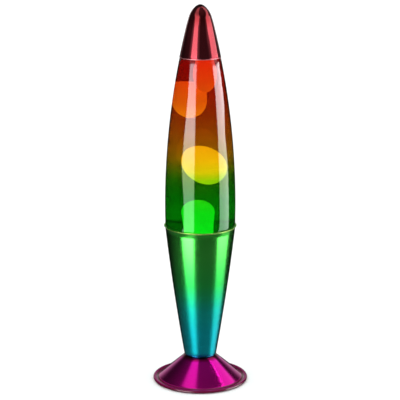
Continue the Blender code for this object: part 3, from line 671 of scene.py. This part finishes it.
def build_cap(material):
    """Decorative cap with a rounded lower edge."""
    edge_radius = arc_radius(SEAM_Z) + CAP_GAP
    outer = cap_side(0.0, SEAM_Z + 0.9 * MM)
    inner = cap_side(METAL, SEAM_Z + 1.3 * MM)
    edge = arc_points((edge_radius - CAP_ROLL, SEAM_Z + CAP_ROLL), CAP_ROLL, 180.0, 400.0, 12)
    outline = list(reversed(inner)) + edge + outer
    add_piece("cap_fine", turned_bmesh(outline, FINE_STEPS), material, "cap", ["decorative_cap"])


def bottle_outside():
    """The bottle's outer outline, from the middle of its base up to its mouth."""
    heel_z = BOTTLE_BASE_Z + 4.0 * MM
    base = profile([(0.0, 2.4), (19.5, 0.4)], BOTTLE_BASE_Z)
    base += profile([(-5.5, 0.0), (-2.2, 0.9), (0.0, 4.0)], BOTTLE_BASE_Z, taper_radius(heel_z))
    side = [(taper_radius(z), z) for z in spread(BOTTLE_BASE_Z + 8.0 * MM, 171.0 * MM, 12)]
    shoulder = profile([(37.1, 174.6), (37.85, 176.9)])
    long_arc = [(arc_radius(z), z) for z in spread(RIM_Z + 1.3 * MM, LEDGE_Z - 0.25 * MM, 60)]
    neck = profile([(-0.3, 0.0), (-1.6, 0.7)], LEDGE_Z, arc_radius(LEDGE_Z))
    neck += profile([(20.0, 366.5), (16.6, 371.8), (12.6, 375.0), (12.6, 376.6)])
    neck += profile([(13.3, 377.4), (13.3, 380.8)])
    neck += profile([(12.3, 0.0)], MOUTH_Z)
    low = rounded(base, 2.0 * MM) + side
    middle = rounded([side[-1]] + shoulder + [long_arc[0]], 1.2 * MM)[1:-1]
    high = long_arc + rounded([long_arc[-1]] + neck, 0.8 * MM)[1:]
    return low + middle + high


def bottle_inside():
    """The bottle's inner outline, from its mouth down to the middle of its floor."""
    top = profile([(9.6, 0.0), (9.0, -0.8)], MOUTH_Z)
    top += profile([(9.0, 374.6), (11.5, 371.6), (15.6, 368.2), (18.0, 364.6)])
    long_arc = [(arc_radius(z) - GLASS, z) for z in spread(LEDGE_Z - 1.0 * MM, INNER_ARC_LOW_Z, 50)]
    side = [(taper_radius(z) - GLASS, z) for z in spread(INNER_TAPER_TOP_Z, INNER_TAPER_LOW_Z, 12)]
    floor = profile([(24.6, 5.6), (18.5, 4.4), (0.0, 5.6)], BOTTLE_BASE_Z)
    return rounded(top + [long_arc[0]], 1.0 * MM)[:-1] + long_arc + side + floor


def build_bottle(material):
    """Glass bottle, outer and inner skin."""
    bm = turned_bmesh(bottle_outside() + bottle_inside(), FINE_STEPS)
    add_piece("bottle_fine", bm, material, "bottle", ["glass_bottle"], 60.0)


def build_liquid(material):
    """Liquid that fills the bottle, its skin just inside the wall of the glass."""
    top = profile([(0.0, 367.0), (16.5, 367.0), (18.1, 364.6)])
    long_arc = [(arc_radius(z) - GLASS + LIQUID_SKIN, z) for z in spread(361.0 * MM, INNER_ARC_LOW_Z, 50)]
    side = [(taper_radius(z) - GLASS + LIQUID_SKIN, z)
            for z in spread(INNER_TAPER_TOP_Z, INNER_TAPER_LOW_Z, 12)]
    floor = profile([(24.7, 5.5), (18.5, 4.3), (0.0, 5.5)], BOTTLE_BASE_Z)
    bm = turned_bmesh(top + long_arc + side + floor, FINE_STEPS)
    add_piece("liquid_fine", bm, material, "bottle", ["liquid"], 60.0)


def build_pool(material):
    """Wax pool and the column that rises from it and leans a little."""
    column_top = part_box("wax_pool")[1].z + COLUMN_RISE
    dome = column_top - COLUMN_RADIUS
    outline = profile([(0.0, 118.2), (14.0, 118.0), (15.0, 123.6), (24.0, 123.8)])
    outline += [(taper_radius(z) - GLASS - WAX_GAP, z) for z in spread(127.0 * MM, 134.0 * MM, 4)]
    outline += profile([(27.6, 0.0), (22.0, 3.5), (15.4, 11.0), (12.6, 21.0)], POOL_TOP_Z)
    outline += profile([(11.8, 172.0), (12.3, 180.0)])
    outline = rounded(outline + profile([(13.4, -2.0)], dome), 3.0 * MM)
    outline += arc_points((0.0, dome), COLUMN_RADIUS, -6.0, 90.0, 16)
    outline[-1] = (0.0, column_top)
    bm = turned_bmesh(outline, MEDIUM_STEPS)
    for vert in bm.verts:
        lean = min(max((vert.co.z - POOL_TOP_Z) / (dome - POOL_TOP_Z), 0.0), 1.0)
        vert.co.x -= COLUMN_LEAN * lean * lean * (3.0 - 2.0 * lean)
    add_piece("wax_pool_fine", bm, material, "bottle", ["wax_pool"])


def build_blob(name, node, body, material, half_sizes, tilt=0.0, flat_top=None, lift=0.0):
    """A free blob in the place of its CAD solid: a stretched ball, tilted or with its top pressed flat."""
    low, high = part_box(node)
    centre = (low + high) / 2
    bm = bmesh.new()
    bmesh.ops.create_icosphere(bm, subdivisions=5, radius=1.0)
    middle_z = centre.z
    if flat_top is not None:
        middle_z = high.z - flat_top
        for vert in bm.verts:
            if vert.co.z > 0.0:
                across = min(math.hypot(vert.co.x, vert.co.y), 1.0)
                shoulder = (1.0 - across ** FLAT_TOP_POWER) ** (1.0 / FLAT_TOP_POWER)
                vert.co.z = flat_top / half_sizes[2] * shoulder
    for vert in bm.verts:
        vert.co *= 1.0 + BLOB_UNEVENNESS * noise.noise(vert.co * 1.3)
    shape = Matrix.Rotation(math.radians(tilt), 4, "Y") @ Matrix.Diagonal([*half_sizes, 1.0])
    place = Matrix.Translation((centre.x, centre.y, middle_z + lift))
    bmesh.ops.transform(bm, matrix=place @ shape, verts=bm.verts[:])
    for vert in bm.verts:
        vert.co.z = min(vert.co.z, WAX_CEILING_Z - WAX_RISE)
        room = arc_radius(vert.co.z + WAX_RISE) - GLASS - BLOB_GAP
        reach = math.hypot(vert.co.x, vert.co.y)
        if reach > room:
            vert.co.x *= room / reach
            vert.co.y *= room / reach
    add_piece(name, bm, material, body, [node])


def build_blobs(material):
    """The three free blobs."""
    build_blob("wax_middle_fine", "wax_blob_middle", "wax_middle", material,
               (17.3 * MM, 18.4 * MM, 22.1 * MM), tilt=-31.0, lift=0.8 * MM)
    build_blob("wax_upper_left_fine", "wax_blob_upper_left", "wax_upper_left", material,
               (12.9 * MM, 8.8 * MM, 18.4 * MM), flat_top=20.3 * MM, lift=-1.6 * MM)
    build_blob("wax_upper_right_fine", "wax_blob_upper_right", "wax_upper_right", material,
               (10.9 * MM, 7.5 * MM, 20.0 * MM))


def cone_outline(floor):
    """The cone body, from the hole in its base up to its lip and down inside to its floor."""
    base = [(NIPPLE_HOLE_RADIUS, CONE_BASE_Z)]
    base += profile([(-0.5, 0.0), (0.0, 0.7)], CONE_BASE_Z, CONE_BASE_RADIUS)
    side = [(cone_radius(z), z) for z in spread(CONE_BASE_Z + 2.5 * MM, RIM_Z - 1.6 * MM, 30)]
    reach = LIP_RADIUS - LIP_TRIM
    lip = profile([(38.78, -0.95)], RIM_Z) + profile([(-0.55, -0.66)], RIM_Z, reach)
    lip += arc_points((reach - LIP_BEAD, RIM_Z - LIP_BEAD), LIP_BEAD, -75.0, 110.0, 10)
    lip += profile([(39.0, -0.3), (38.35, -0.85), (37.9, -1.8), (37.7, -3.1)], RIM_Z)
    inner = [(cone_radius(z) - METAL, z) for z in spread(RIM_Z - 5.6 * MM, floor + 1.2 * MM, 20)]
    inner += [(CONE_BASE_RADIUS - METAL - 0.8 * MM, floor), (NIPPLE_HOLE_RADIUS, floor)]
    return rounded(base + [side[0]], 0.6 * MM)[:-1] + side + lip + inner


def build_cone(material, inner_material):
    """Cone body with its turned-out lip, and inside, a second finish with a painted glow."""
    floor = CONE_BASE_Z + 1.2 * MM
    bm = turned_bmesh(cone_outline(floor), FINE_STEPS)
    cone = add_piece("cone_fine", bm, material, "base", ["cone_body"])
    cone.data.materials.append(inner_material)
    for face in cone.data.polygons:
        spot = face.center
        if math.hypot(spot.x, spot.y) < cone_radius(spot.z) - 0.7 * METAL and spot.z > floor + 0.1 * MM:
            face.material_index = 1


def build_foot(material):
    """Foot shell with its rolled bead and the hole for the grommet."""
    bead = (FOOT_RADIUS - FOOT_BEAD, FOOT_LOW_Z + FOOT_BEAD + 0.2 * MM)
    flank_end_z = FOOT_TOP_Z - (FLANK_END_RADIUS - FOOT_TOP_RADIUS) * FLANK_FALL
    across = FOOT_METAL * math.hypot(1.0, FLANK_FALL) / FLANK_FALL
    under = FOOT_TOP_Z - FOOT_METAL
    shoulder_z = FOOT_TOP_Z - 2.0 * MM
    top = [(NIPPLE_HOLE_RADIUS, FOOT_TOP_Z), (FOOT_TOP_RADIUS - 0.2 * MM, FOOT_TOP_Z),
           (flank_radius(shoulder_z), shoulder_z)]
    flank = [(flank_radius(z), z) for z in spread(FOOT_TOP_Z - 2.4 * MM, flank_end_z, 14)]
    bead_points = arc_points(bead, FOOT_BEAD, 118.0, -135.0, 26)
    brim = [flank[-1]] + profile([(47.6, -0.75)], flank_end_z) + profile([(49.2, 0.05)], bead_points[0][1])
    outline = rounded(top, 1.0 * MM)[:-1] + flank
    outline += rounded(brim + [bead_points[0]], 1.2 * MM)[1:-1] + bead_points
    outline += profile([(47.0, -0.1)], flank_end_z - across * FLANK_FALL)
    outline += [(flank_radius(z) - across, z) for z in spread(flank_end_z, under - 0.6 * MM, 6)]
    outline += [(FOOT_TOP_RADIUS - across * 0.6, under), (NIPPLE_HOLE_RADIUS, under)]
    shell = bored(turned_bmesh(outline, FINE_STEPS), CORD_HOLE_RADIUS, 22.0 * MM, 48.0 * MM, CORD_Z)
    add_piece("foot_fine", shell, material, "base", ["foot_shell"])


def build_grommet(material):
    """Cord grommet with rounded flanges, its axis level and pointing straight back."""
    low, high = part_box("cord_grommet")
    outline = profile([(3.7, 0.0), (6.1, 0.0), (6.4, 0.4), (6.4, 1.6), (4.9, 2.0)], low.y)
    outline += profile([(4.9, -1.9), (5.7, -1.5), (5.7, -0.4), (5.3, 0.0), (4.1, 0.0), (3.7, -0.5)], high.y)
    bm = turned_bmesh(rounded(outline, 0.35 * MM), SMALL_STEPS)
    place = Matrix.Translation((0.0, 0.0, CORD_Z)) @ Matrix.Rotation(math.radians(-90.0), 4, "X")
    bmesh.ops.transform(bm, matrix=place, verts=bm.verts[:])
    add_piece("grommet_fine", bm, material, "base", ["cord_grommet"], 50.0)


def build_crown(material):
    """Crown cap with a smoothly fluted skirt."""
    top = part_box("crown_cap")[1].z
    outer = profile([(0.0, 0.0), (11.8, 0.0), (13.9, -1.0), (14.9, -4.0), (16.1, -6.2)], top)
    inner = profile([(15.7, -6.3), (14.4, -4.0), (13.3, -1.4)], top)
    inner += [(11.6 * MM, top - CROWN_SHEET), (0.0, top - CROWN_SHEET)]
    bm = turned_bmesh(rounded(outer, 0.9 * MM, 6) + rounded(inner, 0.5 * MM), CROWN_TEETH * 14)
    for vert in bm.verts:
        skirt = min(max((top - vert.co.z - 2.2 * MM) / (4.1 * MM), 0.0), 1.0)
        swell = 1.0 + CROWN_FLUTES * skirt * math.cos(CROWN_TEETH * math.atan2(vert.co.y, vert.co.x))
        vert.co.x *= swell
        vert.co.y *= swell
    add_piece("crown_fine", bm, material, "bottle", ["crown_cap"], 50.0)


def build_bulb_envelope(material):
    """Blown reflector envelope with a smooth shoulder."""
    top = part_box("bulb_envelope")[1].z
    side = profile([(0.0, 52.0), (0.0, 60.5)], 0.0, BULB_NECK_RADIUS)
    side += profile([(7.2, 65.5), (12.4, 74.0), (16.8, 83.0), (19.0, 90.0)])
    side += profile([(19.5, 95.0), (18.6, 99.4), (15.0, 102.4)])
    inner = [(0.0, top - BULB_WALL)]
    inner += [(radius - BULB_WALL, z - 0.35 * MM) for radius, z in reversed(side[2:])]
    inner += profile([(0.0, 60.0), (0.0, 52.0)], 0.0, BULB_NECK_RADIUS - BULB_WALL)
    outline = rounded(side + [(0.0, top)], 6.0 * MM, 7) + rounded(inner, 6.0 * MM, 7)
    bm = turned_bmesh(outline, MEDIUM_STEPS)
    add_piece("bulb_envelope_fine", bm, material, "bulb", ["bulb_envelope"], 50.0)


# ---------------------------------------------------------------- studio light
#
# Only mirror rays see it. Directions are in degrees: elevation above the level, and azimuth from straight in
# front, to either side. Each list holds (elevation, value) stops. A strip's near edge is the one towards the
# front.

DEGREES = 180.0 / math.pi

LEFT_STRIP = {
    "near": [(-41, 14), (-37, 18), (-33, 25), (-28, 22), (-15, 19), (0, 17.5), (13, 18), (18, 18), (22, 14),
             (27, 7), (50, 21), (60, 28), (77, 28)],
    "far": [(-41, 56), (-37, 62), (-33, 64), (-26, 68), (-15, 55.5), (-11, 58), (-7, 66), (-1, 60), (5, 55),
            (10, 57), (14, 54), (18, 52), (40, 76), (59, 92)],
    "power": [(-28, 7.5), (-25, 6.0), (-15, 6.5), (-6, 8.0), (0, 10.0), (5, 10.0), (12, 8.5), (17, 7.5),
              (20, 1.4), (35, 0.8), (50, 0.62), (60, 0.92)],
}
RIGHT_STRIP = {
    "near": [(-41, 82), (-37, 80), (-33, 76), (-30, 69), (-26, 62), (-15, 65.5), (-7, 64.6), (0, 66),
             (10, 68.5), (13, 67), (15, 60), (22, 60), (40, 88), (56, 102)],
    "far": [(-28, 125), (-25, 120), (-23, 110), (-15, 108), (-8, 106), (-4, 101), (-1.5, 115), (0.6, 118),
            (6.4, 122), (13, 120), (15, 107), (22, 107), (31, 131), (38, 131)],
    "power": [(-27, 5.0), (-24, 5.5), (-15, 7.0), (-6, 9.0), (0, 11.0), (12, 11.0), (15, 8.0), (18, 1.5),
              (31, 1.05)],
}
STRIP_EDGE = [(-38, 0.09), (-32, 0.13), (-28, 0.4), (28, 0.4), (50, 0.14), (70, 0.12)]    # sharpness
THIN_LINE = [(45, 0.0), (50, 8.0)]            # bright line at the right strip's near edge, high up
THIN_LINE_WIDTH = 2.2
THIN_LINE_EDGE = 1.5
HALO_POWER = [(8, 0.0), (13, 0.24), (34, 0.24), (42, 0.0)]
HALO_REACH = 16.0                             # degrees past each edge of a strip
HALO_EDGE = 0.062
ROOM_LIGHT = [(-60, 0.115), (-38, 0.16), (-26, 0.11), (-20, 0.02), (6, 0.02), (10, 0.035), (30, 0.045),
              (50, 0.10), (75, 0.17)]
ROOM_DIMMING = (100.0, 145.0, 1.0, 0.4)       # from full light at the first azimuth to less at the second
BACKDROP_LIGHT = [(-3, 0.0), (0, 0.64), (9, 0.64), (18, 0.26), (26, 0.0)]
BACKDROP_SPAN = (134.0, 210.0)
BACKDROP_EDGE = 0.035
SEEN_LIGHT = 1.08                             # the white that the camera and clear glass see
SURFACE_LIGHT = 1.25                          # the light that falls on matt surfaces

# The seam of the cap and each level of the cone mirror a curve across the sky. These straighten the curves,
# so that the strips' power can be held lower for the cap and the cone than for the glass between them.
CAP_CURVE = 7.4
CONE_CURVE = -5.9
CAP_SEAM_ANGLE = (13.3, 13.8)
GLASS_LIMIT = 12.0
CAP_LIMIT = 1.1
CONE_LIMIT = [(-41, 0.6), (-38, 0.62), (-35, 0.66), (-32.5, 0.95), (-30.5, 2.0), (-29.3, 4.5), (-28, 7.5),
              (-26, GLASS_LIMIT)]


def by_angle(nodes, angle, stops):
    """A value that follows an angle between -90 and 90 degrees through (degrees, value) stops."""
    fac = nodes.math("DIVIDE", nodes.math("ADD", angle, 90.0), 180.0)
    top = max(value for _, value in stops)
    grey = nodes.ramp(fac, [((degrees + 90.0) / 180.0, (value / top,) * 3) for degrees, value in stops])
    return nodes.times(grey, top)


def between(nodes, value, low, high, sharpness):
    """1 where value lies between low and high, falling to 0 inside each end over 1 / sharpness."""
    above = nodes.times(nodes.math("SUBTRACT", value, low), sharpness, clamp=True)
    below = nodes.times(nodes.math("SUBTRACT", high, value), sharpness, clamp=True)
    return nodes.times(above, below)


def power_limit(nodes, elevation, turn):
    """The most that a strip may shine in each direction."""
    sideways = nodes.math("SUBTRACT", 1.0, nodes.math("COSINE", turn))
    cap_angle = nodes.math("ADD", elevation, nodes.times(sideways, CAP_CURVE))
    cone_angle = nodes.math("ADD", elevation, nodes.times(sideways, CONE_CURVE))
    return nodes.math("MINIMUM", nodes.ranged(cap_angle, *CAP_SEAM_ANGLE, GLASS_LIMIT, CAP_LIMIT),
                      by_angle(nodes, cone_angle, CONE_LIMIT))


def strip_light(nodes, across, elevation, limit, strip):
    """One strip light: its near edge, its light and the halo round it."""
    near = by_angle(nodes, elevation, strip["near"])
    far = by_angle(nodes, elevation, strip["far"])
    power = nodes.math("MINIMUM", by_angle(nodes, elevation, strip["power"]), limit)
    light = nodes.times(between(nodes, across, near, far, by_angle(nodes, elevation, STRIP_EDGE)), power)
    halo = between(nodes, across, nodes.math("SUBTRACT", near, HALO_REACH),
                   nodes.math("ADD", far, HALO_REACH), HALO_EDGE)
    return near, light, halo


def mirrored_room(nodes):
    """What mirror rays see: two strip lights, a thin line, halos, a dim room and a backdrop behind."""
    direction = nodes.add("ShaderNodeTexCoord").outputs["Generated"]
    axis = nodes.add("ShaderNodeSeparateXYZ", {0: direction})
    turn = nodes.math("ARCTAN2", axis.outputs["X"], nodes.times(axis.outputs["Y"], -1.0))
    azimuth = nodes.times(turn, DEGREES)
    elevation = nodes.times(nodes.math("ARCSINE", axis.outputs["Z"]), DEGREES)
    limit = power_limit(nodes, elevation, turn)
    leftwards = nodes.times(azimuth, -1.0)
    _, left_light, left_halo = strip_light(nodes, leftwards, elevation, limit, LEFT_STRIP)
    right_near, right_light, right_halo = strip_light(nodes, azimuth, elevation, limit, RIGHT_STRIP)
    line_end = nodes.math("ADD", right_near, THIN_LINE_WIDTH)
    line = nodes.times(between(nodes, azimuth, right_near, line_end, THIN_LINE_EDGE),
                       by_angle(nodes, elevation, THIN_LINE))
    halo = nodes.times(by_angle(nodes, elevation, HALO_POWER), nodes.math("ADD", left_halo, right_halo))
    behind = nodes.math("ABSOLUTE", azimuth)
    room = nodes.times(by_angle(nodes, elevation, ROOM_LIGHT), nodes.ranged(behind, *ROOM_DIMMING))
    backdrop = nodes.times(between(nodes, behind, *BACKDROP_SPAN, BACKDROP_EDGE),
                           by_angle(nodes, elevation, BACKDROP_LIGHT))
    seen = nodes.math("ADD", left_light, right_light)
    for light in (line, halo, room, backdrop):
        seen = nodes.math("ADD", seen, light)
    return seen


def build_world():
    """White all round, but reflections see a dim room with two tall strip lights."""
    world = bpy.data.worlds.new("studio")
    bpy.context.scene.world = world
    world.use_nodes = True
    nodes = Nodes(world.node_tree)
    seen = mirrored_room(nodes)
    path = nodes.add("ShaderNodeLightPath")
    mirrored = nodes.times(path.outputs["Is Glossy Ray"],
                           nodes.math("SUBTRACT", 1.0, path.outputs["Is Transmission Ray"]))
    plain = nodes.mix(path.outputs["Is Diffuse Ray"], SEEN_LIGHT, SURFACE_LIGHT)
    strength = nodes.mix(mirrored, plain, seen)
    background = world.node_tree.nodes["Background"]
    background.inputs["Color"].default_value = (1.0, 1.0, 1.0, 1.0)
    nodes.link(background, {"Strength": strength})


def build_floor():
    """Plain white floor that reflections don't show."""
    bm = bmesh.new()
    bmesh.ops.create_grid(bm, x_segments=8, y_segments=8, size=8.0)
    mesh = bpy.data.meshes.new("studio_floor")
    bm.to_mesh(mesh)
    bm.free()
    white = plain_finish("studio_white", (0.96, 0.96, 0.96), 0.9, grain=4.0, depth=0.0, variation=0.005)
    mesh.materials.append(white)
    floor = bpy.data.objects.new("studio_floor", mesh)
    bpy.context.scene.collection.objects.link(floor)
    floor.visible_glossy = False


# ---------------------------------------------------------------- camera

CAMERA_PLACE = (-0.0003, -1.7596, 0.6428)
CAMERA_DIP = 13.95                 # degrees below the level
CAMERA_LENS = 149.3


def build_camera():
    """Long lens, a little above the lamp and looking down at its middle."""
    camera = bpy.data.cameras.new("camera")
    camera.lens = CAMERA_LENS
    camera.sensor_width = 36.0
    camera.clip_end = 50.0
    holder = bpy.data.objects.new("camera", camera)
    holder.location = CAMERA_PLACE
    holder.rotation_euler = (math.radians(90.0 - CAMERA_DIP), 0.0, 0.0)
    bpy.context.scene.collection.objects.link(holder)
    bpy.context.scene.camera = holder


# ---------------------------------------------------------------- assembly

def main():
    """Builds the studio, gives the CAD nodes their finishes and adds the fine pieces."""
    build_camera()
    build_world()
    build_floor()
    finishes = hardware_finishes()
    finish_cad_nodes(finishes)
    wax = lit_wax()
    build_cap(cap_metal())
    build_bottle(lacquered_glass())
    build_liquid(clear_liquid())
    build_pool(wax)
    build_blobs(wax)
    build_cone(cone_metal(), lit_inner_wall())
    build_foot(foot_metal())
    build_grommet(finishes["rubber"])
    build_crown(finishes["tinplate"])
    build_bulb_envelope(finishes["bulb_glass"])
    scene = bpy.context.scene
    scene.view_settings.view_transform = "Standard"
    scene.cycles.use_denoising = True


main()
